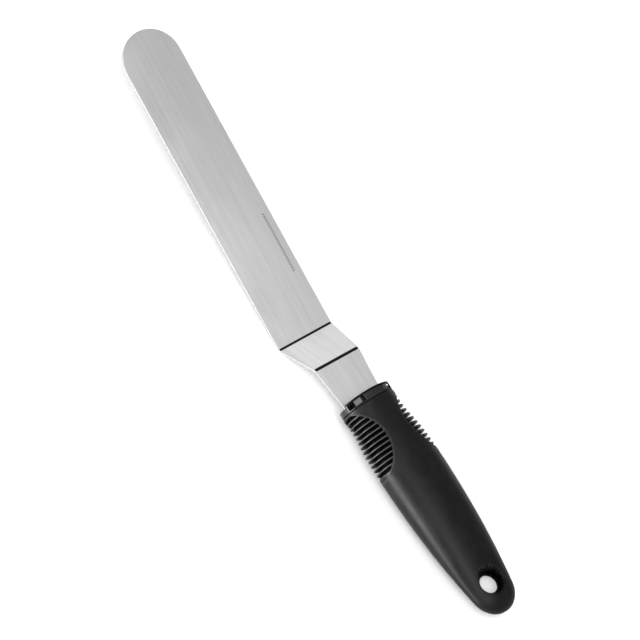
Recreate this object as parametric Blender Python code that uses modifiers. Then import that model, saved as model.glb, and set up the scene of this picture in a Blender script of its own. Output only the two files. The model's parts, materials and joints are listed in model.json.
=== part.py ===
"""Offset spatula: a cranked steel blade held in a rubber grip on a rigid core.

The blade frame runs from the round tip (x = 0) along the flat to the heel, with the
flat's middle plane at z = 0. The handle frame starts on the grip's axis at the grip's
front face, with X towards the butt. Both hang from one empty that lays the spatula
down on its heel bend and the belly of its grip.
"""

from math import cos, pi, radians, sin, sqrt, tan

import bmesh
import bpy
import numpy as np
from mathutils import Matrix

# Blade strip
SHEET = 0.0011
BLADE_HALF_WIDTH = 0.0154
TIP_TO_HEEL = 0.1583
RISER_HEIGHT = 0.01565
RISER_ANGLE = radians(45)
HANDLE_ANGLE = radians(9.5)
BEND_RADIUS = 0.0020
HEEL_TO_SHOULDER_TAPER = 0.111

# Tang, measured from the grip's front face
BEND_TO_GRIP = 0.0256
TANG_DROP = 0.0023
SHOULDER_X = -0.0024
TANG_HALF_WIDTH = 0.0070
TANG_END_HALF_WIDTH = 0.0050
TANG_END_X = 0.0720

# Grip: distance behind its front face, half width, half height, height of the middle
GRIP_LENGTH = 0.1137
GRIP_SECTIONS = (
    (0.0000, 0.01390, 0.0116, -0.0009),
    (0.0090, 0.01400, 0.0117, -0.0007),
    (0.0200, 0.01560, 0.0120, -0.0003),
    (0.0360, 0.01605, 0.0121, 0.0000),
    (0.0600, 0.01550, 0.0114, 0.0000),
    (0.0800, 0.01420, 0.0093, 0.0000),
    (0.0985, 0.01200, 0.0064, 0.0000),
    (0.1137, 0.00930, 0.0054, 0.0000),
)
GRIP_FRONT_ROUND = 0.0004
BUTT_START = 0.1035
BUTT_SQUARENESS = 2.2
GRIP_SEGMENTS = 40

# Finger fins, left by slots cut in an oval on each side
SLOT_COUNT = 13
SLOT_PITCH = 0.00245
SLOT_WIDTH = 0.00145
FIRST_SLOT_X = 0.00225
SLOT_DEPTH = 0.0029
SLOT_DEPTH_AT_ENDS = 0.45  # share of the full depth
OVAL_MIDDLE_X = 0.0178
OVAL_HALF_LENGTH = 0.0173
OVAL_HALF_ANGLE = radians(65.5)

# Hanging hole near the butt
HOLE_X = 0.0990
HOLE_MIDDLE_Z = 0.0004
HOLE_RADIUS = 0.0045
HOLE_STRAIGHT_HALF = 0.0005
HOLE_FLARE_WIDTH = 0.0029
HOLE_FLARE_HEIGHT = 0.0054
HOLE_FLARE_POWER = 1.5
HOLE_FLARE_REACH = 1.6  # cutter's reach, in flare heights

# Collar: a head in front of the grip and a spigot inside it
COLLAR_MIDDLE_Z = -0.0009
COLLAR_HALF_WIDTH = 0.0137
COLLAR_HALF_HEIGHT = 0.0114
COLLAR_FRONT_X = -0.0042
COLLAR_BULGE = 0.0004
BROW_LOWEST_Z = 0.0034
BELOW_BROW_X = -0.0029
SPIGOT = (0.0100, 0.0082, -0.0006)
SPIGOT_END_X = 0.0080
COLLAR_BORE = (0.0084, 0.0067, -0.0006)
COLLAR_BORE_X = -0.0022
NECK_SLOT_HALF_WIDTH = 0.0108
NECK_SLOT_HALF_HEIGHT = 0.00085
WINDOW_ANGLE = radians(49)
WINDOW_X = (-0.0037, -0.0006)
WINDOW_WIDTH = 0.0092
WINDOW_FLOOR = 0.0055
LUG_WIDTH = 0.0038
LUG_SHIFT = 0.0011  # towards the top
LUG_INSET = 0.0005

# Core halves: nose inside the collar, then body sections as for the grip
CORE_NOSE = (0.0081, 0.0064, -0.0006)
CORE_NOSE_X = -0.0019
CORE_SECTIONS = (
    (0.0083, 0.0100, 0.0082, -0.0006),
    (0.0400, 0.0106, 0.0076, 0.0000),
    (0.0840, 0.0076, 0.0039, 0.0000),
)
CORE_SEGMENTS = 32

# Tang rivets
RIVET_X = (0.0200, 0.0500)
RIVET_RADIUS = 0.0016
RIVET_HEAD_RADIUS = 0.0030
RIVET_HEAD = (0.0024, 0.0034)
RIVET_SEGMENTS = 16

GAP = 0.0003
CUTTER_OVERSHOOT = 0.0010


def clear_scene():
    for obj in list(bpy.data.objects):
        bpy.data.objects.remove(obj, do_unlink=True)


def new_collection(name):
    collection = bpy.data.collections.new(name)
    bpy.context.scene.collection.children.link(collection)
    return collection


def new_empty(name, collection, parent=None):
    empty = bpy.data.objects.new(name, None)
    collection.objects.link(empty)
    empty.parent = parent
    return empty


def new_material(name, color, roughness, metallic=0.0):
    material = bpy.data.materials.new(name)
    material.use_nodes = True
    shader = material.node_tree.nodes["Principled BSDF"]
    shader.inputs["Base Color"].default_value = (*color, 1.0)
    shader.inputs["Roughness"].default_value = roughness
    shader.inputs["Metallic"].default_value = metallic
    material.diffuse_color = (*color, 1.0)
    return material


def new_object(name, bm, collection, parent):
    bmesh.ops.recalc_face_normals(bm, faces=bm.faces)
    if bm.calc_volume(signed=True) < 0:
        bmesh.ops.reverse_faces(bm, faces=bm.faces)
    mesh = bpy.data.meshes.new(name)
    bm.to_mesh(mesh)
    bm.free()
    obj = bpy.data.objects.new(name, mesh)
    collection.objects.link(obj)
    obj.parent = parent
    return obj


def finish_part(obj, material, sharp_angle=radians(35)):
    obj.data.materials.append(material)
    obj.data.shade_smooth()
    obj.data.set_sharp_from_angle(angle=sharp_angle)


def as_cutter(obj):
    obj.hide_render = True
    obj.display_type = "WIRE"
    return obj


def cut(target, cutter, operation="DIFFERENCE"):
    boolean = target.modifiers.new(cutter.name, "BOOLEAN")
    boolean.operation = operation
    boolean.solver = "EXACT"
    boolean.object = cutter


def extruded_outline(loops, half_depth):
    """A flat outline, with any holes as further loops, extruded both ways along Z."""
    curve = bpy.data.curves.new("outline", "CURVE")
    curve.dimensions = "2D"
    curve.fill_mode = "BOTH"
    curve.extrude = half_depth
    for loop in loops:
        spline = curve.splines.new("POLY")
        spline.points.add(len(loop) - 1)
        spline.use_cyclic_u = True
        for point, (across, along) in zip(spline.points, loop):
            point.co = (across, along, 0.0, 1.0)
    helper = bpy.data.objects.new("outline", curve)
    bpy.context.scene.collection.objects.link(helper)
    graph = bpy.context.evaluated_depsgraph_get()
    mesh = bpy.data.meshes.new_from_object(helper.evaluated_get(graph))
    bm = bmesh.new()
    bm.from_mesh(mesh)
    bmesh.ops.remove_doubles(bm, verts=bm.verts, dist=1e-6)
    bpy.data.objects.remove(helper)
    bpy.data.curves.remove(curve)
    bpy.data.meshes.remove(mesh)
    return bm


def arc(middle, radius, start, end, steps):
    """Points from one angle to another, both ends included."""
    return [
        (middle[0] + radius * cos(angle), middle[1] + radius * sin(angle))
        for angle in (start + (end - start) * i / steps for i in range(steps + 1))
    ]


def follow(stations, x):
    """Values at x, smooth through the stations, which hold x first."""
    table = np.array(stations)
    knots = table[:, 0]
    values = table[:, 1:]
    slopes = np.gradient(values, knots, axis=0)
    i = int(np.clip(np.searchsorted(knots, x) - 1, 0, len(knots) - 2))
    span = knots[i + 1] - knots[i]
    t = (x - knots[i]) / span
    start = (2 * t**3 - 3 * t**2 + 1) * values[i] + (t**3 - 2 * t**2 + t) * span * slopes[i]
    end = (3 * t**2 - 2 * t**3) * values[i + 1] + (t**3 - t**2) * span * slopes[i + 1]
    return start + end


def loft(rings, segments):
    """Oval rings (x, half width, half height, height of the middle) joined in turn, with flat ends."""
    bm = bmesh.new()
    turns = [2 * pi * i / segments for i in range(segments)]
    loops = [
        [bm.verts.new((x, half_width * cos(a), middle + half_height * sin(a))) for a in turns]
        for x, half_width, half_height, middle in rings
    ]
    for near, far in zip(loops, loops[1:]):
        for i in range(segments):
            bm.faces.new((near[i - 1], near[i], far[i], far[i - 1]))
    bm.faces.new(reversed(loops[0]))
    bm.faces.new(loops[-1])
    return bm


# The blade strip


def strip_runs():
    """The strip's runs in order, from the tip: length and curvature of the middle plane."""
    second_turn = RISER_ANGLE - HANDLE_ANGLE
    first_setback = BEND_RADIUS * tan(RISER_ANGLE / 2)
    second_setback = BEND_RADIUS * tan(second_turn / 2)
    riser = RISER_HEIGHT / sin(RISER_ANGLE)
    return (
        (TIP_TO_HEEL - first_setback, 0.0),
        (BEND_RADIUS * RISER_ANGLE, 1 / BEND_RADIUS),
        (riser - first_setback - second_setback, 0.0),
        (BEND_RADIUS * second_turn, -1 / BEND_RADIUS),
        (BEND_TO_GRIP + TANG_END_X - second_setback, 0.0),
    )


def strip_point(distance, lift):
    """Where a point of the flat strip lies once the strip is bent, as x and z."""
    x = 0.0
    z = 0.0
    heading = 0.0
    for length, curvature in strip_runs():
        step = min(distance, length)
        if curvature:
            turned = heading + curvature * step
            x += (sin(turned) - sin(heading)) / curvature
            z += (cos(heading) - cos(turned)) / curvature
            heading = turned
        else:
            x += step * cos(heading)
            z += step * sin(heading)
        distance -= step
        if distance <= 0:
            break
    return x - lift * sin(heading), z + lift * cos(heading)


def strip_distance(handle_x):
    """Distance along the flat strip to a place given behind the grip's front face."""
    return sum(length for length, _ in strip_runs()) - TANG_END_X + handle_x


def strip_outline():
    heel = strip_runs()[0][0] + strip_runs()[1][0] / 2
    shoulder = strip_distance(SHOULDER_X)
    tang_end = strip_distance(TANG_END_X)
    shoulder_half_width = BLADE_HALF_WIDTH - HEEL_TO_SHOULDER_TAPER * (shoulder - heel)
    tip = arc((BLADE_HALF_WIDTH, 0.0), BLADE_HALF_WIDTH, pi / 2, 3 * pi / 2, 28)
    end = arc((tang_end - TANG_END_HALF_WIDTH, 0.0), TANG_END_HALF_WIDTH, -pi / 2, pi / 2, 12)
    return (
        tip
        + [(heel, -BLADE_HALF_WIDTH), (shoulder, -shoulder_half_width), (shoulder, -TANG_HALF_WIDTH)]
        + end
        + [(shoulder, TANG_HALF_WIDTH), (shoulder, shoulder_half_width), (heel, BLADE_HALF_WIDTH)]
    )


def bend_cuts():
    """Distances along the strip where it is divided so that the bends come out round."""
    cuts = []
    start = 0.0
    for length, curvature in strip_runs():
        if curvature:
            cuts += [start + length * i / 6 for i in range(7)]
        start += length
    return cuts


def make_blade(parts, frame, steel):
    holes = [
        arc((strip_distance(x), 0.0), RIVET_RADIUS + GAP, 0, 2 * pi, RIVET_SEGMENTS)[:-1]
        for x in RIVET_X
    ]
    bm = extruded_outline([strip_outline(), *holes], SHEET / 2)
    for distance in bend_cuts():
        everything = bm.verts[:] + bm.edges[:] + bm.faces[:]
        bmesh.ops.bisect_plane(
            bm, geom=everything, dist=1e-7, plane_co=(distance, 0, 0), plane_no=(1, 0, 0)
        )
    for vert in bm.verts:
        x, z = strip_point(vert.co.x, vert.co.z)
        vert.co.x = x
        vert.co.z = z
    bmesh.ops.dissolve_limit(bm, angle_limit=radians(0.5), verts=bm.verts, edges=bm.edges)
    blade = new_object("blade", bm, parts, frame)
    finish_part(blade, steel)
    return blade


# The grip


def butt_taper(x):
    """1 along the grip, falling to 0 round the end of the butt."""
    reach = max(0.0, (x - BUTT_START) / (GRIP_LENGTH - BUTT_START))
    return max(0.0, 1 - reach**BUTT_SQUARENESS) ** (1 / BUTT_SQUARENESS)


def grip_section(x):
    half_width, half_height, middle = follow(GRIP_SECTIONS, x)
    taper = butt_taper(x)
    return half_width * taper, half_height * taper, middle


def grip_rings():
    half_width, half_height, middle = grip_section(0.0)
    rings = [(0.0, half_width - GRIP_FRONT_ROUND, half_height - GRIP_FRONT_ROUND, middle)]
    lengthwise = list(np.linspace(GRIP_FRONT_ROUND, BUTT_START, 15))
    round_end = [BUTT_START + (GRIP_LENGTH - BUTT_START) * sin(radians(a)) for a in range(12, 85, 12)]
    return rings + [(x, *grip_section(x)) for x in lengthwise + round_end]


def slot_outline(x, side):
    """One slot's outline across the grip: its floor follows the grip's section, its ends stand square."""
    half_width, half_height, middle = grip_section(x)
    reach = (x - OVAL_MIDDLE_X) / OVAL_HALF_LENGTH
    opening = sqrt(1 - reach**2)
    half_angle = OVAL_HALF_ANGLE * opening
    depth = SLOT_DEPTH * (SLOT_DEPTH_AT_ENDS + (1 - SLOT_DEPTH_AT_ENDS) * opening)
    angles = np.linspace(-half_angle, half_angle, 11)
    floor = [
        (side * (half_width - depth) * cos(a), middle + (half_height - depth) * sin(a))
        for a in angles
    ]
    outside = [
        (side * (half_width + SLOT_DEPTH) * cos(a), middle + (half_height + SLOT_DEPTH) * sin(a))
        for a in reversed(angles)
    ]
    return floor + outside


def make_slot_cutters(cutters, handle):
    across = Matrix(((0, 0, 1, 0), (1, 0, 0, 0), (0, 1, 0, 0), (0, 0, 0, 1)))
    both_sides = bmesh.new()
    for i in range(SLOT_COUNT):
        x = FIRST_SLOT_X + i * SLOT_PITCH
        loops = [slot_outline(x, 1), slot_outline(x, -1)]
        slot = extruded_outline(loops, SLOT_WIDTH / 2)
        slot.transform(Matrix.Translation((x, 0, 0)) @ across)
        piece = bpy.data.meshes.new("slot")
        slot.to_mesh(piece)
        slot.free()
        both_sides.from_mesh(piece)
        bpy.data.meshes.remove(piece)
    return as_cutter(new_object("fin_slots", both_sides, cutters, handle))


def make_hole_cutter(cutters, handle):
    """A waisted plug, opening out from a narrow throat towards both faces."""
    flare = []
    for share in np.linspace(0.0, HOLE_FLARE_REACH, 9):
        radius = HOLE_RADIUS + HOLE_FLARE_WIDTH * share**HOLE_FLARE_POWER
        flare.append((radius, HOLE_STRAIGHT_HALF + HOLE_FLARE_HEIGHT * share))
    upper = [(0.0, flare[-1][1]), *reversed(flare)]
    profile = upper + [(radius, -height) for radius, height in reversed(upper)]
    bm = bmesh.new()
    verts = [bm.verts.new((radius, 0.0, height)) for radius, height in profile]
    for a, b in zip(verts, verts[1:]):
        bm.edges.new((a, b))
    mesh = bpy.data.meshes.new("hanging_hole")
    bm.to_mesh(mesh)
    bm.free()
    plug = bpy.data.objects.new("hanging_hole", mesh)
    cutters.objects.link(plug)
    plug.parent = handle
    plug.location = (HOLE_X, 0.0, HOLE_MIDDLE_Z)
    screw = plug.modifiers.new("turn", "SCREW")
    screw.steps = 32
    screw.render_steps = 32
    screw.use_merge_vertices = True
    screw.merge_threshold = 1e-5
    return as_cutter(plug)


def grown(sections, margin):
    return [(x, width + margin, height + margin, middle) for x, width, height, middle in sections]


def make_cavity_cutter(cutters, handle):
    spigot = grown([(-GAP * 4, *SPIGOT), (CORE_SECTIONS[0][0], *SPIGOT)], GAP)
    body = grown(CORE_SECTIONS[1:], GAP)
    end_x, *end_section = body[-1]
    bm = loft(spigot + body[:-1] + [(end_x + GAP, *end_section)], CORE_SEGMENTS)
    return as_cutter(new_object("grip_cavity", bm, cutters, handle))


def make_grip(parts, cutters, handle, rubber):
    grip = new_object("grip", loft(grip_rings(), GRIP_SEGMENTS), parts, handle)
    cut(grip, make_cavity_cutter(cutters, handle))
    cut(grip, make_slot_cutters(cutters, handle))
    cut(grip, make_hole_cutter(cutters, handle))
    finish_part(grip, rubber)
    return grip


# The collar


def make_box_cutter(name, low, high, cutters, handle, roll=0.0, pivot_z=0.0):
    """A block between two corners, rolled about the handle's long direction."""
    bm = bmesh.new()
    bmesh.ops.create_cube(bm, size=1.0)
    size = [b - a for a, b in zip(low, high)]
    middle = [(a + b) / 2 for a, b in zip(low, high)]
    place = Matrix.Translation(middle) @ Matrix.Diagonal((*size, 1.0))
    turn = Matrix.Translation((0, 0, pivot_z)) @ Matrix.Rotation(roll, 4, "X")
    bm.transform(turn @ place)
    return as_cutter(new_object(name, bm, cutters, handle))


def shoulder_angle(side):
    """Roll about the handle that turns straight up to one of the collar's upper shoulders."""
    return -side * WINDOW_ANGLE


def make_front_cutter(far_x, cutters, handle):
    """Everything ahead of the collar's front, which bulges most in the middle of its width."""
    reach = COLLAR_HALF_WIDTH * 1.1
    front = [
        (COLLAR_FRONT_X - COLLAR_BULGE * (1 - (y / COLLAR_HALF_WIDTH) ** 2), y)
        for y in np.linspace(reach, -reach, 14)
    ]
    bm = extruded_outline([[*front, (far_x, -reach), (far_x, reach)]], 2 * COLLAR_HALF_HEIGHT)
    return as_cutter(new_object("collar_front", bm, cutters, handle))


def make_collar(parts, cutters, handle, plastic):
    head = (COLLAR_HALF_WIDTH, COLLAR_HALF_HEIGHT, COLLAR_MIDDLE_Z)
    blank_x = COLLAR_FRONT_X - 2 * COLLAR_BULGE
    rings = [(blank_x, *head), (-GAP, *head), (-GAP, *SPIGOT), (SPIGOT_END_X, *SPIGOT)]
    collar = new_object("collar", loft(rings, GRIP_SEGMENTS), parts, handle)
    cut(collar, make_front_cutter(blank_x * 2, cutters, handle))
    bore = loft([(COLLAR_BORE_X, *COLLAR_BORE), (SPIGOT_END_X + GAP, *COLLAR_BORE)], CORE_SEGMENTS)
    cut(collar, as_cutter(new_object("collar_bore", bore, cutters, handle)))
    slot_low = (COLLAR_FRONT_X * 2, -NECK_SLOT_HALF_WIDTH, -TANG_DROP - NECK_SLOT_HALF_HEIGHT)
    slot_high = (SHOULDER_X + GAP, NECK_SLOT_HALF_WIDTH, -TANG_DROP + NECK_SLOT_HALF_HEIGHT)
    cut(collar, make_box_cutter("neck_slot", slot_low, slot_high, cutters, handle))
    reach = 2 * COLLAR_HALF_WIDTH
    below_low = (-reach, -reach, -reach)
    below_high = (BELOW_BROW_X, reach, BROW_LOWEST_Z)
    cut(collar, make_box_cutter("below_brow", below_low, below_high, cutters, handle))
    for side, name in ((-1, "window_left"), (1, "window_right")):
        low = (WINDOW_X[0], -WINDOW_WIDTH / 2, WINDOW_FLOOR)
        high = (WINDOW_X[1], WINDOW_WIDTH / 2, COLLAR_HALF_WIDTH + CUTTER_OVERSHOOT)
        roll = shoulder_angle(side)
        cut(collar, make_box_cutter(name, low, high, cutters, handle, roll, COLLAR_MIDDLE_Z))
    finish_part(collar, plastic)
    return collar


# The core halves and their rivets


def half_core(keep_above):
    """The core cut along its joint, just above the tang's top face."""
    nose = [(CORE_NOSE_X, *CORE_NOSE), (CORE_SECTIONS[0][0], *CORE_NOSE)]
    bm = loft([*nose, *CORE_SECTIONS], CORE_SEGMENTS)
    joint = -TANG_DROP + SHEET / 2 + (GAP if keep_above else 0.0)
    bmesh.ops.bisect_plane(
        bm,
        geom=bm.verts[:] + bm.edges[:] + bm.faces[:],
        dist=1e-7,
        plane_co=(0, 0, joint),
        plane_no=(0, 0, 1),
        clear_outer=not keep_above,
        clear_inner=keep_above,
    )
    bmesh.ops.holes_fill(bm, edges=[edge for edge in bm.edges if edge.is_boundary])
    return bm


def make_rivet_hole_cutter(cutters, handle):
    """Shank holes with a counterbore at each end for the heads."""
    bm = bmesh.new()
    for x in RIVET_X:
        radius = RIVET_RADIUS + GAP
        head_radius = RIVET_HEAD_RADIUS + 2 * GAP
        head_start = RIVET_HEAD[0] - GAP
        reach = COLLAR_HALF_WIDTH
        profile = [(0.0, reach), (head_radius, reach), (head_radius, head_start), (radius, head_start)]
        turn_profile(bm, profile, x)
    return as_cutter(new_object("rivet_holes", bm, cutters, handle))


def turn_profile(bm, upper, x):
    """Turns a profile and its mirror below the tang's middle plane about an upright axis at x."""
    profile = upper + [(radius, -height) for radius, height in reversed(upper)]
    verts = [bm.verts.new((x + radius, 0.0, height - TANG_DROP)) for radius, height in profile]
    edges = [bm.edges.new(pair) for pair in zip(verts, verts[1:])]
    bmesh.ops.spin(
        bm,
        geom=verts + edges,
        cent=(x, 0, 0),
        axis=(0, 0, 1),
        angle=2 * pi,
        steps=RIVET_SEGMENTS,
        use_merge=True,
    )
    bmesh.ops.remove_doubles(bm, verts=bm.verts, dist=1e-6)


def make_core_upper(parts, cutters, handle, plastic, rivet_holes):
    core = new_object("core_upper", half_core(True), parts, handle)
    for side, name in ((-1, "lug_left"), (1, "lug_right")):
        roll = shoulder_angle(side)
        outer = shoulder_reach() - LUG_INSET
        middle = -side * LUG_SHIFT
        low = (WINDOW_X[0] + GAP, middle - LUG_WIDTH / 2, WINDOW_FLOOR + GAP)
        high = (WINDOW_X[1] - GAP, middle + LUG_WIDTH / 2, outer)
        cut(core, make_box_cutter(name, low, high, cutters, handle, roll, COLLAR_MIDDLE_Z), "UNION")
    cut(core, rivet_holes)
    finish_part(core, plastic)
    return core


def shoulder_reach():
    """Distance from the collar's middle to its surface at the window."""
    across = sin(WINDOW_ANGLE) / COLLAR_HALF_WIDTH
    up = cos(WINDOW_ANGLE) / COLLAR_HALF_HEIGHT
    return 1 / sqrt(across**2 + up**2)


def make_core_lower(parts, cutters, handle, plastic, rivet_holes):
    core = new_object("core_lower", half_core(False), parts, handle)
    start = CORE_NOSE_X - 4 * GAP
    wide = TANG_HALF_WIDTH + GAP
    narrow = TANG_END_HALF_WIDTH + GAP
    end = TANG_END_X + GAP
    outline = [(start, -wide), (end, -narrow), (end, narrow), (start, wide)]
    channel = extruded_outline([outline], SHEET)
    channel.transform(Matrix.Translation((0, 0, -TANG_DROP + SHEET / 2 - GAP)))
    cut(core, as_cutter(new_object("tang_channel", channel, cutters, handle)))
    cut(core, rivet_holes)
    finish_part(core, plastic)
    return core


def make_rivet(name, x, parts, handle, metal):
    head_start, head_end = RIVET_HEAD
    profile = [
        (0.0, head_end),
        (RIVET_HEAD_RADIUS, head_end),
        (RIVET_HEAD_RADIUS, head_start),
        (RIVET_RADIUS, head_start),
    ]
    bm = bmesh.new()
    turn_profile(bm, profile, x)
    rivet = new_object(name, bm, parts, handle)
    finish_part(rivet, metal)
    return rivet


# Laying the spatula down


def world_points(objects):
    graph = bpy.context.evaluated_depsgraph_get()
    points = []
    for obj in objects:
        evaluated = obj.evaluated_get(graph)
        mesh = evaluated.to_mesh()
        points += [evaluated.matrix_world @ vert.co for vert in mesh.vertices]
        evaluated.to_mesh_clear()
    return np.array(points)


def resting_tilt(points):
    """The turn about Y that brings the heel bend and the grip's belly to one level."""
    behind_heel = points[:, 0] > TIP_TO_HEEL + RISER_HEIGHT
    low, high = 0.0, radians(30)
    for _ in range(40):
        tilt = (low + high) / 2
        height = points[:, 2] * cos(tilt) - points[:, 0] * sin(tilt)
        if height[behind_heel].min() > height[~behind_heel].min():
            low = tilt
        else:
            high = tilt
    return tilt


def lay_down(frame, objects):
    """Tips the whole object onto the floor, with the origin under the middle of its box."""
    frame.rotation_euler = (0.0, resting_tilt(world_points(objects)), 0.0)
    bpy.context.view_layer.update()
    points = world_points(objects)
    middle = (points.min(axis=0) + points.max(axis=0)) / 2
    frame.location = (-middle[0], -middle[1], -points[:, 2].min())
    bpy.context.view_layer.update()


def main():
    clear_scene()
    parts = new_collection("offset_spatula")
    cutters = new_collection("cutters")
    frame = new_empty("spatula_frame", parts)
    handle = new_empty("handle_frame", parts, frame)
    along = BEND_TO_GRIP
    bend_x = TIP_TO_HEEL + RISER_HEIGHT / tan(RISER_ANGLE)
    handle.location = (
        bend_x + along * cos(HANDLE_ANGLE) - TANG_DROP * sin(HANDLE_ANGLE),
        0.0,
        RISER_HEIGHT + along * sin(HANDLE_ANGLE) + TANG_DROP * cos(HANDLE_ANGLE),
    )
    handle.rotation_euler = (0.0, -HANDLE_ANGLE, 0.0)
    bpy.context.view_layer.update()

    steel = new_material("brushed_steel", (0.62, 0.62, 0.63), 0.28, 1.0)
    rubber = new_material("black_rubber", (0.018, 0.018, 0.018), 0.55)
    gloss = new_material("gloss_black", (0.012, 0.012, 0.012), 0.18)
    core_plastic = new_material("grey_plastic", (0.16, 0.16, 0.17), 0.45)
    rivet_metal = new_material("rivet_aluminium", (0.75, 0.75, 0.77), 0.35, 1.0)

    rivet_holes = make_rivet_hole_cutter(cutters, handle)
    objects = [
        make_blade(parts, frame, steel),
        make_grip(parts, cutters, handle, rubber),
        make_collar(parts, cutters, handle, gloss),
        make_core_upper(parts, cutters, handle, core_plastic, rivet_holes),
        make_core_lower(parts, cutters, handle, core_plastic, rivet_holes),
        make_rivet("rivet_front", RIVET_X[0], parts, handle, rivet_metal),
        make_rivet("rivet_rear", RIVET_X[1], parts, handle, rivet_metal),
    ]
    bpy.context.view_layer.update()
    lay_down(frame, objects)


main()
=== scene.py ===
import json
import math

import bmesh
import bpy
import numpy as np
from mathutils import Matrix, Vector


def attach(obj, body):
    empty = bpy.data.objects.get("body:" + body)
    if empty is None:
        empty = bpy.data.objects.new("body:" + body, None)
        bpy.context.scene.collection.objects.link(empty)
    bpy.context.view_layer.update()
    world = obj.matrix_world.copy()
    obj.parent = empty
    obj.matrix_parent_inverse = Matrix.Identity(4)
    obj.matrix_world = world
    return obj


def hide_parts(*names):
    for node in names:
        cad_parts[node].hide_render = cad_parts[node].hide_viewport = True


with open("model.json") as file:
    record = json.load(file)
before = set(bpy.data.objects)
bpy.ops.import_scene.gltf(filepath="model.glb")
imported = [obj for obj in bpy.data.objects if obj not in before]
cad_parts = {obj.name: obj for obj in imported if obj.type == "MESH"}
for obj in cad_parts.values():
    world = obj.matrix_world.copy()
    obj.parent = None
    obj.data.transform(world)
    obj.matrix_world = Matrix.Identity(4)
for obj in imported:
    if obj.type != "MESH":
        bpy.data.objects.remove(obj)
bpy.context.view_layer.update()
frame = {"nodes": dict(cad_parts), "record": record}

mm = 0.001

# The steel strip, as it is before bending: distances run from the tip along the sheet
bladeShape = {
    "sheet": 1.088 * mm,  # a shade under the 1.1 mm sheet, so the rounder bends stay inside it
    "halfWidth": 15.4 * mm,
    "tipToHeel": 158.3 * mm,
    "riserHeight": 15.65 * mm,
    "riserAngle": math.radians(45),
    "handleAngle": math.radians(9.5),
    "bendRadius": 2.0 * mm,
    "taper": 0.111,  # half width lost per length behind the heel
    "bendToGrip": 25.6 * mm,
    "tangDrop": 2.3 * mm,
    "shoulderX": -2.4 * mm,
    "tangHalfWidth": 7.0 * mm,
    "tangEndHalfWidth": 5.0 * mm,
    "tangEndX": 72.0 * mm,
    "faceFromTip": 80.0 * mm,  # where the record's two blade faces are
    "edgeRound": 0.28 * mm,
    "cutsPerBend": 12,
}

# Rubber sleeve, in the handle's own frame: X runs back from its front face
gripShape = {
    "length": 113.7 * mm,
    "sections": [  # behind the front, half width, half height, height of the middle
        (0.0, 13.90, 11.6, -0.9),
        (9.0, 14.00, 11.7, -0.7),
        (20.0, 15.60, 12.0, -0.3),
        (36.0, 16.05, 12.1, 0.0),
        (60.0, 15.50, 11.4, 0.0),
        (80.0, 14.20, 9.3, 0.0),
        (98.5, 12.00, 6.4, 0.0),
        (113.7, 9.30, 5.4, 0.0),
    ],
    "cavity": [(-0.1, 10.3, 8.5, -0.6), (8.3, 10.3, 8.5, -0.6), (40.0, 10.9, 7.9, 0.0), (84.3, 7.9, 4.2, 0.0)],
    "frontRound": 0.5 * mm,
    "buttStart": 103.5 * mm,
    "buttSquareness": 2.2,
    "skin": 0.12 * mm,  # kept inside the CAD surface
    "around": 192,
    "finStep": 0.1 * mm,
}

# Finger fins: thirteen slots in an oval on each side
finShape = {
    "slots": 13,
    "pitch": 2.45 * mm,
    "width": 1.45 * mm,
    "firstX": 2.25 * mm,
    "depth": 2.9 * mm,
    "depthAtEnds": 0.45,  # share of the full depth
    "middleX": 17.8 * mm,
    "halfLength": 17.3 * mm,
    "halfAngle": math.radians(65.5),
    "wallSlope": 0.32 * mm,  # the slots widen outwards
    "endSlope": 0.7 * mm,
    "lip": 0.11 * mm,
    "lipWidth": 0.5 * mm,
}

holeShape = {
    "x": 99.0 * mm,
    "middleZ": 0.4 * mm,
    "radius": 4.5 * mm,
    "straightHalf": 0.5 * mm,
    "flareWidth": 2.9 * mm,
    "flareHeight": 5.4 * mm,
    "flarePower": 1.5,
    "steps": 96,
}

collarShape = {
    "middleZ": -0.9 * mm,
    "halfWidth": 13.7 * mm,
    "halfHeight": 11.4 * mm,
    "frontX": -4.2 * mm,
    "bulge": 0.4 * mm,
    "browLowestZ": 3.4 * mm,
    "belowBrowX": -2.9 * mm,
    "backX": -0.3 * mm,
    "spigot": (10.0 * mm, 8.2 * mm, -0.6 * mm),
    "spigotEndX": 8.0 * mm,
    "bore": (8.4 * mm, 6.7 * mm, -0.6 * mm),
    "boreX": -2.2 * mm,
    "neckSlot": (10.8 * mm, 0.85 * mm),
    "neckSlotEndX": -2.1 * mm,
    "windowAngle": math.radians(49),
    "windowX": (-3.7 * mm, -0.6 * mm),
    "windowWidth": 9.2 * mm,
    "windowFloor": 5.5 * mm,
    "edgeRound": 0.22 * mm,
    "lipX": (-3.75 * mm, -3.62 * mm),
    "segments": 96,
}


# Places in the model


def readBladeFrame(shape):
    mounts = {mount["name"]: mount for mount in frame["record"]["mounts"]}
    top = mounts["blade_top"]
    under = mounts["blade_underside"]
    up = Vector(top["axis"]).normalized()
    along = Vector((up.z, 0.0, -up.x))
    across = Vector((0.0, 1.0, 0.0))
    middle = (Vector(top["pos_m"]) + Vector(under["pos_m"])) / 2
    turn = Matrix((along, across, up)).transposed().to_4x4()
    return Matrix.Translation(middle - along * shape["faceFromTip"]) @ turn


def readHandleFrame(shape, bladeFrame):
    heading = shape["handleAngle"]
    bendX = shape["tipToHeel"] + shape["riserHeight"] / math.tan(shape["riserAngle"])
    start = Vector((
        bendX + shape["bendToGrip"] * math.cos(heading) - shape["tangDrop"] * math.sin(heading),
        0.0,
        shape["riserHeight"] + shape["bendToGrip"] * math.sin(heading) + shape["tangDrop"] * math.cos(heading),
    ))
    return bladeFrame @ Matrix.Translation(start) @ Matrix.Rotation(-heading, 4, "Y")


bladeFrame = readBladeFrame(bladeShape)
handleFrame = readHandleFrame(bladeShape, bladeFrame)
print("frames read")


# Small helpers


def smoothStep(value):
    value = min(1.0, max(0.0, value))
    return value * value * (3 - 2 * value)


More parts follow.
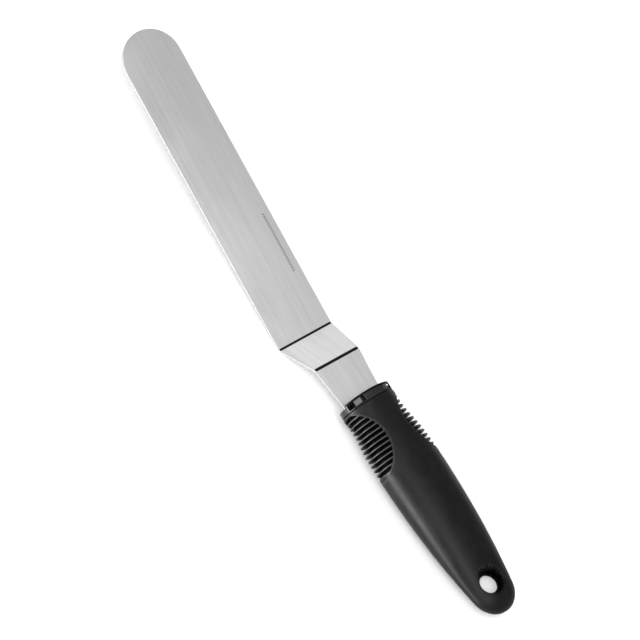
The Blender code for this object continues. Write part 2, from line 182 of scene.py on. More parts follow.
def keepPiece(name, bm, material, smoothAngle=35):
    mesh = bpy.data.meshes.new(name)
    bm.to_mesh(mesh)
    bm.free()
    piece = bpy.data.objects.new(name, mesh)
    bpy.context.scene.collection.objects.link(piece)
    mesh.materials.append(material)
    mesh.shade_smooth()
    mesh.set_sharp_from_angle(angle=math.radians(smoothAngle))
    return piece


def outward(bm):
    bmesh.ops.recalc_face_normals(bm, faces=bm.faces)
    if bm.calc_volume(signed=True) < 0:
        bmesh.ops.reverse_faces(bm, faces=bm.faces)


def throwAway(obj):
    mesh = obj.data
    bpy.data.objects.remove(obj)
    bpy.data.meshes.remove(mesh)


def combined(bm, cutters):
    # a bmesh after Booleans, given as (bmesh, operation) in order
    helpers = []
    base = bpy.data.objects.new("blank", bpy.data.meshes.new("blank"))
    bm.to_mesh(base.data)
    bm.free()
    bpy.context.scene.collection.objects.link(base)
    for cutter, operation in cutters:
        tool = bpy.data.objects.new("tool", bpy.data.meshes.new("tool"))
        cutter.to_mesh(tool.data)
        cutter.free()
        bpy.context.scene.collection.objects.link(tool)
        boolean = base.modifiers.new("cut", "BOOLEAN")
        boolean.operation = operation
        boolean.solver = "EXACT"
        boolean.object = tool
        helpers.append(tool)
    bpy.context.view_layer.update()
    graph = bpy.context.evaluated_depsgraph_get()
    result = bmesh.new()
    result.from_mesh(bpy.data.meshes.new_from_object(base.evaluated_get(graph)))
    for helper in [base, *helpers]:
        throwAway(helper)
    return result


def follow(stations, x):
    # smooth values at x through rows that hold x first
    table = np.array(stations)
    knots = table[:, 0]
    values = table[:, 1:]
    slopes = np.gradient(values, knots, axis=0)
    i = int(np.clip(np.searchsorted(knots, x) - 1, 0, len(knots) - 2))
    span = knots[i + 1] - knots[i]
    t = (x - knots[i]) / span
    start = (2 * t**3 - 3 * t**2 + 1) * values[i] + (t**3 - 2 * t**2 + t) * span * slopes[i]
    end = (3 * t**2 - 2 * t**3) * values[i + 1] + (t**3 - t**2) * span * slopes[i + 1]
    return start + end


def ovalRod(segments, rings):
    # oval rings along X joined in turn: x, half width, half height, height of the middle
    bm = bmesh.new()
    made = bmesh.ops.create_circle(bm, cap_ends=True, segments=segments, radius=1.0)
    flat = {vert: vert.co.copy() for vert in made["verts"]}
    x, halfWidth, halfHeight, middle = rings[0]
    for vert, co in flat.items():
        vert.co = (x, halfWidth * co.x, middle + halfHeight * co.y)
    face = bm.faces[:][0]
    for near, far in zip(rings, rings[1:]):
        grown = bmesh.ops.extrude_face_region(bm, geom=[face])["geom"]
        face = next(item for item in grown if isinstance(item, bmesh.types.BMFace))
        for vert in face.verts:
            acrossShare = vert.co.y / near[1]
            upShare = (vert.co.z - near[3]) / near[2]
            vert.co = (far[0], far[1] * acrossShare, far[3] + far[2] * upShare)
    outward(bm)
    return bm


def block(low, high, roll=0.0, pivotZ=0.0, cornerRound=0.0):
    bm = bmesh.new()
    bmesh.ops.create_cube(bm, size=1.0)
    size = [b - a for a, b in zip(low, high)]
    middle = [(a + b) / 2 for a, b in zip(low, high)]
    bm.transform(Matrix.Translation(middle) @ Matrix.Diagonal((*size, 1.0)))
    if cornerRound:
        uprights = [e for e in bm.edges if abs(e.verts[0].co.z - e.verts[1].co.z) > size[2] / 2]
        bmesh.ops.bevel(
            bm, geom=uprights, offset=cornerRound, segments=4, profile=0.5, affect="EDGES", material=-1
        )
    bm.transform(Matrix.Translation((0, 0, pivotZ)) @ Matrix.Rotation(roll, 4, "X"))
    outward(bm)
    return bm


# Materials


class Nodes:
    # short ways to add and join shader nodes

    def __init__(self, name):
        self.material = bpy.data.materials.new(name)
        self.material.use_nodes = True
        self.tree = self.material.node_tree
        self.shader = self.tree.nodes["Principled BSDF"]

    def add(self, kind, **settings):
        node = self.tree.nodes.new(kind)
        for key, value in settings.items():
            setattr(node, key, value)
        return node

    def join(self, output, socket):
        self.tree.links.new(output, socket)

    def math(self, operation, first, second=None, clamp=False):
        node = self.add("ShaderNodeMath", operation=operation, use_clamp=clamp)
        for socket, value in zip(node.inputs, (first, second)):
            if isinstance(value, bpy.types.NodeSocket):
                self.join(value, socket)
            elif value is not None:
                socket.default_value = value
        return node.outputs[0]

    def near(self, value, middle, within):
        node = self.add("ShaderNodeMath", operation="COMPARE")
        self.join(value, node.inputs[0])
        node.inputs[1].default_value = middle
        node.inputs[2].default_value = within
        return node.outputs[0]

    def place(self, source, scale, location=(0, 0, 0), rotation=(0, 0, 0)):
        mapping = self.add("ShaderNodeMapping")
        mapping.inputs["Scale"].default_value = scale
        mapping.inputs["Location"].default_value = location
        mapping.inputs["Rotation"].default_value = rotation
        self.join(source, mapping.inputs["Vector"])
        return mapping.outputs["Vector"]

    def noise(self, vector, scale, detail=3.0, roughness=0.5, distortion=0.0):
        node = self.add("ShaderNodeTexNoise")
        node.inputs["Scale"].default_value = scale
        node.inputs["Detail"].default_value = detail
        node.inputs["Roughness"].default_value = roughness
        node.inputs["Distortion"].default_value = distortion
        self.join(vector, node.inputs["Vector"])
        return node.outputs["Fac"]

    def remap(self, value, fromLow, fromHigh, toLow, toHigh):
        node = self.add("ShaderNodeMapRange", interpolation_type="SMOOTHSTEP")
        for name, number in zip(("From Min", "From Max", "To Min", "To Max"), (fromLow, fromHigh, toLow, toHigh)):
            node.inputs[name].default_value = number
        self.join(value, node.inputs["Value"])
        return node.outputs["Result"]

    def mixColor(self, factor, first, second):
        node = self.add("ShaderNodeMix", data_type="RGBA")
        self.join(factor, node.inputs[0])
        for socket, value in ((node.inputs[6], first), (node.inputs[7], second)):
            if isinstance(value, bpy.types.NodeSocket):
                self.join(value, socket)
            else:
                socket.default_value = (*value, 1.0)
        return node.outputs[2]

    def bump(self, height, strength, distance, under=None):
        node = self.add("ShaderNodeBump")
        node.inputs["Strength"].default_value = strength
        node.inputs["Distance"].default_value = distance
        self.join(height, node.inputs["Height"])
        if under is not None:
            self.join(under, node.inputs["Normal"])
        return node.outputs["Normal"]

    def set(self, **values):
        names = {
            "roughness": "Roughness", "metallic": "Metallic", "specular": "Specular IOR Level",
            "sheen": "Sheen Weight", "sheenRoughness": "Sheen Roughness", "coat": "Coat Weight",
            "coatRoughness": "Coat Roughness", "ior": "IOR",
        }
        for key, value in values.items():
            self.shader.inputs[names[key]].default_value = value


steelFinish = {
    "clean": (0.64, 0.64, 0.645),
    "worn": (0.56, 0.56, 0.565),
    "tipShade": 0.86,
    # painted dark reflection along each bend, upper face only
    "bendReflection": (0.012, 0.012, 0.013),
    "tick": (0.10, 0.10, 0.105),
    # painted shade: the sheet's cut side faces are darker, so the side lights don't show on them as a white line
    "shadedCutEdge": (0.30, 0.30, 0.305),
    "cutRoughness": 0.72,
    "roughness": (0.24, 0.38),
    "lineWidth": 0.16 * mm,
    "lineLength": 14.0 * mm,
    "streakWidth": 1.8 * mm,
    "streakLength": 70.0 * mm,
    "bendReflectionHalfWidth": (0.86 * mm, 0.66 * mm),
    "bendReflectionInset": 1.0 * mm,
    "ticksFromTip": (100.0 * mm, 130.0 * mm),
    "tickAcross": 11.5 * mm,
    "tickHeight": 1.2 * mm,
    "tickPitch": 1.0 * mm,
    "tickShare": 0.45,  # of the pitch
    "tickStrength": 0.8,
}


def bendMiddles(shape):
    runs = stripRuns(shape)
    first = runs[0][0] + runs[1][0] / 2
    second = sum(run[0] for run in runs[:3]) + runs[3][0] / 2
    return first, second


def makeSteel(shape, finish):
    # brushed along the strip; "strip" holds distance from the tip, place across, height in the sheet
    nodes = Nodes("brushedSteel")
    strip = nodes.add("ShaderNodeAttribute", attribute_name="strip").outputs["Vector"]
    parts = nodes.add("ShaderNodeSeparateXYZ")
    nodes.join(strip, parts.inputs[0])
    distance, across, lift = parts.outputs

    lines = nodes.noise(
        nodes.place(strip, (1 / finish["lineLength"], 1 / finish["lineWidth"], 0)), 1.0, 4.0, 0.6
    )
    streaks = nodes.noise(
        nodes.place(strip, (1 / finish["streakLength"], 1 / finish["streakWidth"], 0)), 1.0, 3.0, 0.55, 0.4
    )
    smudges = nodes.noise(nodes.place(strip, (28, 60, 0)), 1.0, 4.0, 0.6, 0.8)

    tone = nodes.math("MULTIPLY", nodes.remap(streaks, 0.3, 0.7, 0.0, 1.0), 0.65)
    tone = nodes.math("ADD", tone, nodes.math("MULTIPLY", nodes.remap(lines, 0.3, 0.7, 0.0, 1.0), 0.35))
    color = nodes.mixColor(tone, finish["worn"], finish["clean"])
    towardsTip = nodes.remap(distance, 20 * mm, 130 * mm, 1.0, 0.0)
    shaded = nodes.mixColor(tone, *[tuple(c * finish["tipShade"] for c in finish[key]) for key in ("worn", "clean")])
    color = nodes.mixColor(towardsTip, color, shaded)

    # painted dark reflection: a black band across the upper face along each bend, with round ends short of the edges
    halfWidths = (shape["halfWidth"], shape["halfWidth"] - 2.5 * mm)
    for bend, halfWidth, edge in zip(bendMiddles(shape), halfWidths, finish["bendReflectionHalfWidth"]):
        reach = halfWidth - finish["bendReflectionInset"]
        off = nodes.math("SUBTRACT", distance, bend)
        beyond = nodes.math("MAXIMUM", nodes.math("SUBTRACT", nodes.math("ABSOLUTE", across), reach), 0.0)
        away = nodes.math(
            "SQRT", nodes.math("ADD", nodes.math("MULTIPLY", off, off), nodes.math("MULTIPLY", beyond, beyond))
        )
        inside = nodes.remap(away, edge * 0.8, edge * 1.1, 1.0, 0.0)
        upper = nodes.math("GREATER_THAN", lift, 0.0)
        color = nodes.mixColor(nodes.math("MULTIPLY", inside, upper), color, finish["bendReflection"])

    # an even row of plain etched ticks near one edge
    start, end = finish["ticksFromTip"]
    within = nodes.near(distance, (start + end) / 2, (end - start) / 2)
    level = nodes.near(across, finish["tickAcross"], finish["tickHeight"] / 2)
    along = nodes.math("FRACT", nodes.math("DIVIDE", distance, finish["tickPitch"]))
    tick = nodes.math("MULTIPLY", nodes.math("MULTIPLY", within, level), nodes.math("GREATER_THAN", lift, 0.0))
    tick = nodes.math("MULTIPLY", tick, nodes.math("LESS_THAN", along, finish["tickShare"]))
    color = nodes.mixColor(nodes.math("MULTIPLY", tick, finish["tickStrength"]), color, finish["tick"])

    # painted shade on the cut side faces, which are also rougher
    cut = nodes.add("ShaderNodeAttribute", attribute_name="shadedCutEdge").outputs["Fac"]
    color = nodes.mixColor(cut, color, finish["shadedCutEdge"])

    nodes.join(color, nodes.shader.inputs["Base Color"])
    low, high = finish["roughness"]
    dull = nodes.math("MULTIPLY", cut, finish["cutRoughness"])
    rough = nodes.math("MAXIMUM", nodes.remap(smudges, 0.25, 0.75, low, high), dull)
    nodes.join(rough, nodes.shader.inputs["Roughness"])
    fine = nodes.bump(lines, 0.35, 0.01 * mm)
    nodes.join(nodes.bump(streaks, 0.10, 0.05 * mm, fine), nodes.shader.inputs["Normal"])
    nodes.set(metallic=1.0)
    return nodes.material


rubberFinish = {
    "deep": (0.0034, 0.0034, 0.0036),
    "dusty": (0.0058, 0.0058, 0.0060),
    # fin crests and the pocket's rim: partly real wear, partly painted sheen
    "worn": (0.066, 0.066, 0.067),
    # painted shade in the slots and down the hanging hole
    "slot": (0.0008, 0.0008, 0.0008),
    "gloss": 0.125,
    "roughness": (0.40, 0.50),
    "grain": 0.22 * mm,
}


def makeRubber(finish):
    nodes = Nodes("softRubber")
    place = nodes.add("ShaderNodeTexCoord").outputs["Object"]
    grain = nodes.noise(nodes.place(place, (1 / finish["grain"],) * 3), 1.0, 2.0, 0.6)
    patches = nodes.noise(nodes.place(place, (90, 140, 140)), 1.0, 4.0, 0.6, 0.5)
    wearAndSheen = nodes.add("ShaderNodeAttribute", attribute_name="wearAndSheen").outputs["Fac"]
    color = nodes.mixColor(nodes.remap(patches, 0.35, 0.7, 0.0, 1.0), finish["deep"], finish["dusty"])
    # lighter fin crests: partly real wear, partly painted sheen
    rubbedAndSheen = nodes.math("MULTIPLY", wearAndSheen, nodes.remap(grain, 0.3, 0.6, 0.6, 1.0))
    color = nodes.mixColor(rubbedAndSheen, color, finish["worn"])
    # painted shade: the slots and the hole's throat are darker, with less reflection
    recessShade = nodes.add("ShaderNodeAttribute", attribute_name="recessShade").outputs["Fac"]
    nodes.join(nodes.mixColor(recessShade, color, finish["slot"]), nodes.shader.inputs["Base Color"])
    gloss = nodes.remap(recessShade, 0.0, 1.0, finish["gloss"], finish["gloss"] * 0.1)
    nodes.join(gloss, nodes.shader.inputs["Specular IOR Level"])
    low, high = finish["roughness"]
    nodes.join(nodes.remap(patches, 0.3, 0.7, low, high), nodes.shader.inputs["Roughness"])
    nodes.join(nodes.bump(grain, 0.30, 0.03 * mm), nodes.shader.inputs["Normal"])
    return nodes.material


glossFinish = {"base": (0.006, 0.006, 0.0065), "handled": (0.012, 0.012, 0.0125), "roughness": (0.34, 0.46)}
coreFinish = {"base": (0.034, 0.034, 0.035), "pale": (0.048, 0.048, 0.049), "roughness": (0.55, 0.68)}
rivetFinish = {"base": (0.62, 0.62, 0.64), "pale": (0.74, 0.74, 0.76), "roughness": (0.28, 0.42)}


def makeMoulded(name, base, second, roughness, specular=0.5, metallic=0.0, grain=0.5 * mm):
    # moulded plastic or drawn metal: faint ripple, uneven gloss
    nodes = Nodes(name)
    place = nodes.add("ShaderNodeTexCoord").outputs["Object"]
    ripple = nodes.noise(nodes.place(place, (1 / grain,) * 3), 1.0, 2.0, 0.5)
    smears = nodes.noise(nodes.place(place, (300, 420, 420)), 1.0, 4.0, 0.6, 0.6)
    color = nodes.mixColor(nodes.remap(smears, 0.35, 0.7, 0.0, 1.0), base, second)
    nodes.join(color, nodes.shader.inputs["Base Color"])
    nodes.join(nodes.remap(smears, 0.3, 0.75, *roughness), nodes.shader.inputs["Roughness"])
    nodes.join(nodes.bump(ripple, 0.06, 0.02 * mm), nodes.shader.inputs["Normal"])
    nodes.set(metallic=metallic, specular=specular)
    return nodes


def darkenLip(nodes, lip):
    # the collar's front lip is a plain dark band
    share = nodes.add("ShaderNodeAttribute", attribute_name="lip").outputs["Fac"]
    color = nodes.shader.inputs["Base Color"]
    above = color.links[0].from_socket
    nodes.join(nodes.mixColor(share, above, lip["color"]), color)
    nodes.join(nodes.remap(share, 0.0, 1.0, lip["gloss"][0], lip["gloss"][1]), nodes.shader.inputs["Specular IOR Level"])


# Blade


def stripRuns(shape):
    # length and curvature of each run of the strip, from the tip back
    secondTurn = shape["riserAngle"] - shape["handleAngle"]
    firstSetback = shape["bendRadius"] * math.tan(shape["riserAngle"] / 2)
    secondSetback = shape["bendRadius"] * math.tan(secondTurn / 2)
    riser = shape["riserHeight"] / math.sin(shape["riserAngle"])
    return [
        (shape["tipToHeel"] - firstSetback, 0.0),
        (shape["bendRadius"] * shape["riserAngle"], 1 / shape["bendRadius"]),
        (riser - firstSetback - secondSetback, 0.0),
        (shape["bendRadius"] * secondTurn, -1 / shape["bendRadius"]),
        (shape["bendToGrip"] + shape["tangEndX"] - secondSetback, 0.0),
    ]


def bentPoint(runs, distance, lift):
    x = z = heading = 0.0
    for length, curvature in runs:
        step = min(distance, length)
        if curvature:
            turned = heading + curvature * step
            x += (math.sin(turned) - math.sin(heading)) / curvature
            z += (math.cos(heading) - math.cos(turned)) / curvature
            heading = turned
        else:
            x += step * math.cos(heading)
            z += step * math.sin(heading)
        distance -= step
        if distance <= 0:
            break
    return x - lift * math.sin(heading), z + lift * math.cos(heading)


def buildBlade(shape, material):
    runs = stripRuns(shape)
    whole = sum(run[0] for run in runs)
    heel = bendMiddles(shape)[0]
    shoulder = whole - shape["tangEndX"] + shape["shoulderX"]
    wide = shape["halfWidth"]
    neck = wide - shape["taper"] * (shoulder - heel)
    tang = shape["tangHalfWidth"]
    tangEnd = shape["tangEndHalfWidth"]
    half = [(0.0, wide), (heel, wide), (shoulder, neck), (shoulder, tang), (whole, tangEnd)]
    bm = bmesh.new()
    outline = [(x, -y) for x, y in half] + half[::-1]
    bm.faces.new([bm.verts.new((x, y, 0.0)) for x, y in outline])
    tipCorners = [vert for vert in bm.verts if vert.co.x < 1e-6]
    bmesh.ops.bevel(
        bm, geom=tipCorners, offset=wide * 0.9995, segments=40, profile=0.5, affect="VERTICES", material=-1
    )
    start = 0.0
    for length, curvature in runs:
        cuts = shape["cutsPerBend"] if curvature else 0
        for i in range(cuts + 1 if cuts else 0):
            everything = bm.verts[:] + bm.edges[:] + bm.faces[:]
            place = (start + length * i / cuts, 0, 0)
            bmesh.ops.bisect_plane(bm, geom=everything, dist=1e-8, plane_co=place, plane_no=(1, 0, 0))
        start += length
    grown = bmesh.ops.extrude_face_region(bm, geom=bm.faces[:])["geom"]
    raised = [item for item in grown if isinstance(item, bmesh.types.BMVert)]
    bmesh.ops.translate(bm, verts=raised, vec=(0, 0, shape["sheet"]))
    bmesh.ops.translate(bm, verts=bm.verts, vec=(0, 0, -shape["sheet"] / 2))
    outward(bm)
    rim = [e for e in bm.edges if e.is_manifold and e.calc_face_angle() > math.radians(60)]
    rim = [e for e in rim if abs(e.verts[0].co.z - e.verts[1].co.z) < 1e-6]
    bmesh.ops.bevel(
        bm, geom=rim, offset=shape["edgeRound"], segments=4, profile=0.5, affect="EDGES", material=-1,
        clamp_overlap=True,
    )
    strip = bm.verts.layers.float_vector.new("strip")
    # marks the cut side faces, which get painted shade
    shadedCutEdge = bm.verts.layers.float.new("shadedCutEdge")
    for vert in bm.verts:
        vert[strip] = vert.co.copy()
        vert[shadedCutEdge] = 1.0 if abs(vert.co.z) < shape["sheet"] / 2 - 0.01 * mm else 0.0
        x, z = bentPoint(runs, vert.co.x, vert.co.z)
        vert.co.x = x
        vert.co.z = z
    outward(bm)
    bm.transform(bladeFrame)
    return keepPiece("bladeStrip", bm, material, 30)


# Grip


def buttTaper(shape, x):
    reach = max(0.0, (x - shape["buttStart"]) / (shape["length"] - shape["buttStart"]))
    return max(0.0, 1 - reach ** shape["buttSquareness"]) ** (1 / shape["buttSquareness"])


def gripSection(shape, x):
    halfWidth, halfHeight, middle = follow(shape["sections"], x / mm) * mm
    taper = buttTaper(shape, x)
    skin = shape["skin"]
    return max(0.0, halfWidth * taper - skin), max(0.0, halfHeight * taper - skin), middle


def gripColumns(shape, fins):
    # every ring of the sleeve in turn: up the cavity from its blind end, over the front edge, back to the butt
    columns = []
    cavity = [[value * mm for value in row] for row in shape["cavity"]]
    deepX, _, _, deepMiddle = cavity[-1]
    columns.append((deepX, 0.0, 0.0, deepMiddle, False))
    columns += [(x, halfWidth, halfHeight, middle, False) for x, halfWidth, halfHeight, middle in cavity[::-1][:-1]]
    frontRound = shape["frontRound"]
    halfWidth, halfHeight, middle = gripSection(shape, frontRound)
    innerX, innerWidth, innerHeight, innerMiddle = cavity[0]
    columns.append((frontRound / 2, innerWidth, innerHeight, innerMiddle, False))
    columns.append((0.0, innerWidth + 0.2 * mm, innerHeight + 0.2 * mm, innerMiddle, False))
    for i in range(5):
        angle = math.pi / 2 * i / 5
        inset = frontRound * (1 - math.sin(angle))
        x = frontRound * (1 - math.cos(angle))
        columns.append((x, halfWidth - inset, halfHeight - inset, middle, False))
    finEnd = fins["middleX"] + fins["halfLength"] + 2 * fins["lipWidth"]
    finned = np.arange(frontRound, finEnd, shape["finStep"])
    plain = np.linspace(finEnd, shape["buttStart"], 46)
    capLength = shape["length"] - shape["skin"] - shape["buttStart"]
    cap = [shape["buttStart"] + capLength * math.sin(math.radians(a)) for a in range(4, 91, 4)]
    for x in [*finned, *plain, *cap]:
        columns.append((x, *gripSection(shape, x), True))
    columns.append((columns[-1][0], 0.0, 0.0, columns[-1][3], False))
    return columns


def finRelief(fins, x, fromSide):
    # how far the surface stands in or out at a place, how much wear and painted sheen its edges carry, and how far
    # down a groove it lies, for painted shade
    # fromSide is the angle off the side's middle
    reach = (x - fins["middleX"]) / fins["halfLength"]
    opening = math.sqrt(max(0.0, 1 - reach * reach))
    ring = math.hypot(reach, fromSide / fins["halfAngle"])
    inwards = (1 - ring) * 13 * mm
    k = min(fins["slots"] - 1, max(0, round((x - fins["firstX"]) / fins["pitch"])))
    fromSlot = abs(x - fins["firstX"] - k * fins["pitch"])
    groove = smoothStep((fins["width"] / 2 + fins["wallSlope"] - fromSlot) / (2 * fins["wallSlope"]))
    wall = smoothStep(inwards / fins["endSlope"])
    depthShare = fins["depthAtEnds"] + (1 - fins["depthAtEnds"]) * opening
    depth = fins["depth"] * depthShare * groove * wall
    lip = fins["lip"] * max(0.0, 1 - abs(inwards + fins["lipWidth"] / 2) / fins["lipWidth"])
    crest = wall * smoothStep(1 - abs(fromSlot - fins["width"] / 2 - fins["wallSlope"]) / (0.25 * mm))
    # partly real wear, partly painted sheen on the crests and the pocket's rim
    edgeWearAndSheen = max(crest * 0.8, lip / fins["lip"] * 0.25)
    return lip - depth, edgeWearAndSheen, groove * wall


def buildGrip(shape, fins, hole, material):
    columns = gripColumns(shape, fins)
    around = shape["around"]
    bm = bmesh.new()
    bmesh.ops.create_grid(bm, x_segments=len(columns) - 1, y_segments=around, size=1.0)
    wearAndSheen = bm.verts.layers.float.new("wearAndSheen")
    # how far into a recess each point lies, for painted shade
    recessShade = bm.verts.layers.float.new("recessShade")
    for vert in bm.verts:
        x, halfWidth, halfHeight, middle, outer = columns[round((vert.co.x + 1) / 2 * (len(columns) - 1))]
        turn = 2 * math.pi * (round((vert.co.y + 1) / 2 * around) % around) / around
        if outer:
            fromSide = abs(math.asin(math.sin(turn)))
            stand, vert[wearAndSheen], vert[recessShade] = finRelief(fins, x, fromSide)
            halfWidth += stand
            halfHeight += stand
        vert.co = (x, halfWidth * math.cos(turn), middle + halfHeight * math.sin(turn))
    bmesh.ops.remove_doubles(bm, verts=bm.verts, dist=1e-7)
    outward(bm)
    bm = combined(bm, [(holePlug(hole), "DIFFERENCE")])
    shadeHole(bm, hole)
    bm.transform(handleFrame)
    return keepPiece("gripSleeve", bm, material, 40)


def flareRadius(hole, height):
    share = max(0.0, abs(height) - hole["straightHalf"]) / hole["flareHeight"]
    return hole["radius"] + hole["flareWidth"] * share ** hole["flarePower"]


def shadeHole(bm, hole):
    # the hole's wall gets darker from the rim to the throat
    recessShade = bm.verts.layers.float["recessShade"]
    for vert in bm.verts:
        height = vert.co.z - hole["middleZ"]
        radius = math.hypot(vert.co.x - hole["x"], vert.co.y)
        if abs(radius - flareRadius(hole, height)) < 0.03 * mm:
            vert[recessShade] = smoothStep(1.35 - abs(height) / hole["flareHeight"])


def holePlug(hole):
    # a waisted plug that opens out from a narrow throat towards both faces
    heights = [hole["straightHalf"] + hole["flareHeight"] * share for share in np.linspace(0.0, 1.6, 21)]
    flare = [(flareRadius(hole, height), height) for height in heights]
    upper = [(0.0, flare[-1][1]), *flare[::-1]]
    profile = upper + [(radius, -height) for radius, height in upper[::-1]]
    bm = bmesh.new()
    verts = [bm.verts.new((hole["x"] + radius, 0.0, hole["middleZ"] + height)) for radius, height in profile]
    edges = [bm.edges.new(pair) for pair in zip(verts, verts[1:])]
    bmesh.ops.spin(
        bm, geom=verts + edges, cent=(hole["x"], 0, 0), axis=(0, 0, 1), angle=2 * math.pi,
        steps=hole["steps"], use_merge=True,
    )
    bmesh.ops.remove_doubles(bm, verts=bm.verts, dist=1e-7)
    outward(bm)
    return bm


# Collar


def buildCollar(shape, material):
    head = (shape["halfWidth"], shape["halfHeight"], shape["middleZ"])
    blankX = shape["frontX"] - 2 * shape["bulge"]
    bm = ovalRod(shape["segments"], [
        (blankX, *head), (shape["backX"], *head),
        (shape["backX"], *shape["spigot"]), (shape["spigotEndX"], *shape["spigot"]),
    ])
    # the front is part of a wide upright cylinder, so it bulges in the middle
    radius = shape["halfWidth"] ** 2 / (2 * shape["bulge"])
    barrel = bmesh.new()
    bmesh.ops.create_cone(
        barrel, cap_ends=True, segments=320, radius1=radius, radius2=radius, depth=4 * shape["halfHeight"]
    )
    bmesh.ops.translate(barrel, verts=barrel.verts, vec=(shape["frontX"] - shape["bulge"] + radius, 0, 0))
    outward(barrel)
    bore = ovalRod(64, [(shape["boreX"], *shape["bore"]), (shape["spigotEndX"] + mm, *shape["bore"])])
    slotWidth, slotHeight = shape["neckSlot"]
    drop = -bladeShape["tangDrop"]
    slot = block(
        (2 * blankX, -slotWidth, drop - slotHeight), (shape["neckSlotEndX"], slotWidth, drop + slotHeight)
    )
    reach = 2 * shape["halfWidth"]
    below = block((-reach, -reach, -reach), (shape["belowBrowX"], reach, shape["browLowestZ"]))
    cutters = [(barrel, "INTERSECT"), (bore, "DIFFERENCE"), (slot, "DIFFERENCE"), (below, "DIFFERENCE")]
    for side in (-1, 1):
        low = (shape["windowX"][0], -shape["windowWidth"] / 2, shape["windowFloor"])
        high = (shape["windowX"][1], shape["windowWidth"] / 2, shape["halfWidth"] + mm)
        window = block(low, high, -side * shape["windowAngle"], shape["middleZ"], 0.35 * mm)
        cutters.append((window, "DIFFERENCE"))
    bm = combined(bm, cutters)
    bmesh.ops.remove_doubles(bm, verts=bm.verts, dist=1e-6)
    bmesh.ops.dissolve_limit(bm, angle_limit=math.radians(1), verts=bm.verts, edges=bm.edges)
    for x in shape["lipX"]:
        everything = bm.verts[:] + bm.edges[:] + bm.faces[:]
        bmesh.ops.bisect_plane(bm, geom=everything, dist=1e-7, plane_co=(x, 0, 0), plane_no=(1, 0, 0))
    corners = [e for e in bm.edges if e.is_manifold and e.calc_face_angle() > math.radians(35)]
    bmesh.ops.bevel(
        bm, geom=corners, offset=shape["edgeRound"], segments=3, profile=0.5, affect="EDGES", material=-1,
        clamp_overlap=True,
    )
    outward(bm)
    lip = bm.verts.layers.float.new("lip")
    for vert in bm.verts:
        vert[lip] = 1.0 if vert.co.x < shape["lipX"][0] + 0.01 * mm else 0.0
    bm.transform(handleFrame)
    return keepPiece("collarShell", bm, material, 40)


# Put the object together

steel = makeSteel(bladeShape, steelFinish)
rubber = makeRubber(rubberFinish)
glossNodes = makeMoulded("glossPlastic", glossFinish["base"], glossFinish["handled"], glossFinish["roughness"])
darkenLip(glossNodes, {"color": (0.0006, 0.0006, 0.0006), "gloss": (0.24, 0.04)})
gloss = glossNodes.material
core = makeMoulded("corePlastic", coreFinish["base"], coreFinish["pale"], coreFinish["roughness"], 0.15)
rivets = makeMoulded("rivetMetal", rivetFinish["base"], rivetFinish["pale"], rivetFinish["roughness"], 0.5, 1.0)
print("materials made")

blade = buildBlade(bladeShape, steel)
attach(blade, "root")
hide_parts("blade")
print("blade made:", len(blade.data.polygons), "faces")

grip = buildGrip(gripShape, finShape, holeShape, rubber)
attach(grip, "root")
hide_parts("grip")
print("grip made:", len(grip.data.polygons), "faces")

collar = buildCollar(collarShape, gloss)
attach(collar, "root")
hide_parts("collar")
print("collar made:", len(collar.data.polygons), "faces")

for nodeName, finish in (
    ("core_upper", core.material), ("core_lower", core.material),
    ("rivet_front", rivets.material), ("rivet_rear", rivets.material),
):
    node = frame["nodes"][nodeName]
    for materialSlot in node.material_slots:
        materialSlot.material = finish
    print(nodeName, "finished:", len(node.material_slots), "slots")


# Studio

studio = {
    "floorSize": 8.0,
    "floorColor": (0.90, 0.90, 0.90),
    "worldStrength": 0.9,
    "rightDim": (0.74, 0.99, 0.25),  # where it starts and ends towards the right, and what is left there
    "lens": 1500.0,  # longer ones put the object past the clip end in the turned views
    "sensor": 36.0,
    "viewWidth": 290.9 * mm,  # how much of the blade's plane the view spans
    "aim": (154.7 * mm, 11.2 * mm, 0.0),  # on the blade's plane
    "lookRoll": math.radians(29.0),  # how far the view leans over the blade's left edge
    "bladeHeading": (0.4819, 0.8762),  # the blade's direction in the view: right and down
    "key": {"towards": (0.02, -0.36, 0.93), "strength": 1.6, "angle": math.radians(24)},
    "cards": [  # name, direction from the blade's frame, distance, width, height, power
        ("leftCard", (-0.20, -0.98, 0.0), 0.8, 0.7, 0.12, 27.0),
        ("tipCard", (-0.88, 0.47, 0.16), 1.0, 0.6, 0.4, 0.28),
    ],
}


def addCamera(setup):
    right, down = setup["bladeHeading"]
    cosRoll = math.cos(setup["lookRoll"])
    sinRoll = math.sin(setup["lookRoll"])
    sideways = Vector((right, down * cosRoll, down * sinRoll))
    upwards = Vector((-down, right * cosRoll, right * sinRoll))
    backwards = Vector((0.0, -sinRoll, cosRoll))
    turn = bladeFrame.to_3x3() @ Matrix((sideways, upwards, backwards)).transposed()
    away = setup["viewWidth"] * setup["lens"] / setup["sensor"]
    camera = bpy.data.objects.new("camera", bpy.data.cameras.new("camera"))
    camera.data.lens = setup["lens"]
    camera.data.sensor_width = setup["sensor"]
    camera.data.clip_end = 50.0
    place = bladeFrame @ Vector(setup["aim"]) + turn.col[2] * away
    camera.matrix_world = Matrix.Translation(place) @ turn.to_4x4()
    bpy.context.scene.collection.objects.link(camera)
    bpy.context.scene.camera = camera


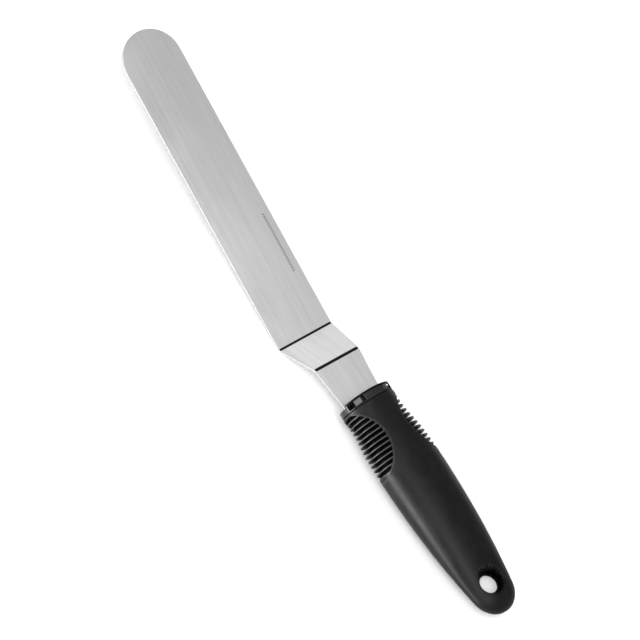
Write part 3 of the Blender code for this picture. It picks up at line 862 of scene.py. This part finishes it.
def addFloor(setup):
    bm = bmesh.new()
    bmesh.ops.create_grid(bm, x_segments=1, y_segments=1, size=setup["floorSize"] / 2)
    nodes = Nodes("paleFloor")
    place = nodes.add("ShaderNodeTexCoord").outputs["Object"]
    cloud = nodes.noise(nodes.place(place, (2, 2, 2)), 1.0, 2.0)
    paper = setup["floorColor"]
    nodes.join(nodes.mixColor(cloud, paper, tuple(c * 0.99 for c in paper)), nodes.shader.inputs["Base Color"])
    nodes.set(roughness=0.9, specular=0.1)
    floor = keepPiece("floor", bm, nodes.material)


def addWorld(setup):
    # even pale light all round, dimmer on the object's right
    world = bpy.data.worlds.new("studio")
    world.use_nodes = True
    tree = world.node_tree
    background = tree.nodes["Background"]
    background.inputs["Color"].default_value = (1.0, 1.0, 1.0, 1.0)
    parts = tree.nodes.new("ShaderNodeSeparateXYZ")
    tree.links.new(tree.nodes.new("ShaderNodeTexCoord").outputs["Generated"], parts.inputs[0])
    dim = tree.nodes.new("ShaderNodeMapRange")
    dim.interpolation_type = "SMOOTHSTEP"
    start, end, left = setup["rightDim"]
    dim.inputs["From Min"].default_value = start
    dim.inputs["From Max"].default_value = end
    dim.inputs["To Min"].default_value = setup["worldStrength"]
    dim.inputs["To Max"].default_value = setup["worldStrength"] * left
    tree.links.new(parts.outputs["Y"], dim.inputs["Value"])
    tree.links.new(dim.outputs["Result"], background.inputs["Strength"])
    bpy.context.scene.world = world


def addLights(setup):
    addWorld(setup)
    key = setup["key"]
    sun = bpy.data.lights.new("key", "SUN")
    sun.energy = key["strength"]
    sun.angle = key["angle"]
    placeLight(setup, sun, key["towards"], 1.0)
    for name, towards, distance, width, height, power in setup["cards"]:
        card = bpy.data.lights.new(name, "AREA")
        card.shape = "RECTANGLE"
        card.size = width
        card.size_y = height
        card.energy = power
        placeLight(setup, card, towards, distance)


def placeLight(setup, light, direction, distance):
    towards = (bladeFrame.to_3x3() @ Vector(direction)).normalized()
    place = bladeFrame @ Vector(setup["aim"]) + towards * distance
    lamp = bpy.data.objects.new(light.name, light)
    lamp.matrix_world = Matrix.Translation(place) @ towards.to_track_quat("Z", "Y").to_matrix().to_4x4()
    lamp.visible_camera = False
    bpy.context.scene.collection.objects.link(lamp)


addCamera(studio)
addFloor(studio)
addLights(studio)
bpy.context.scene.view_settings.view_transform = "Standard"
print("studio set")
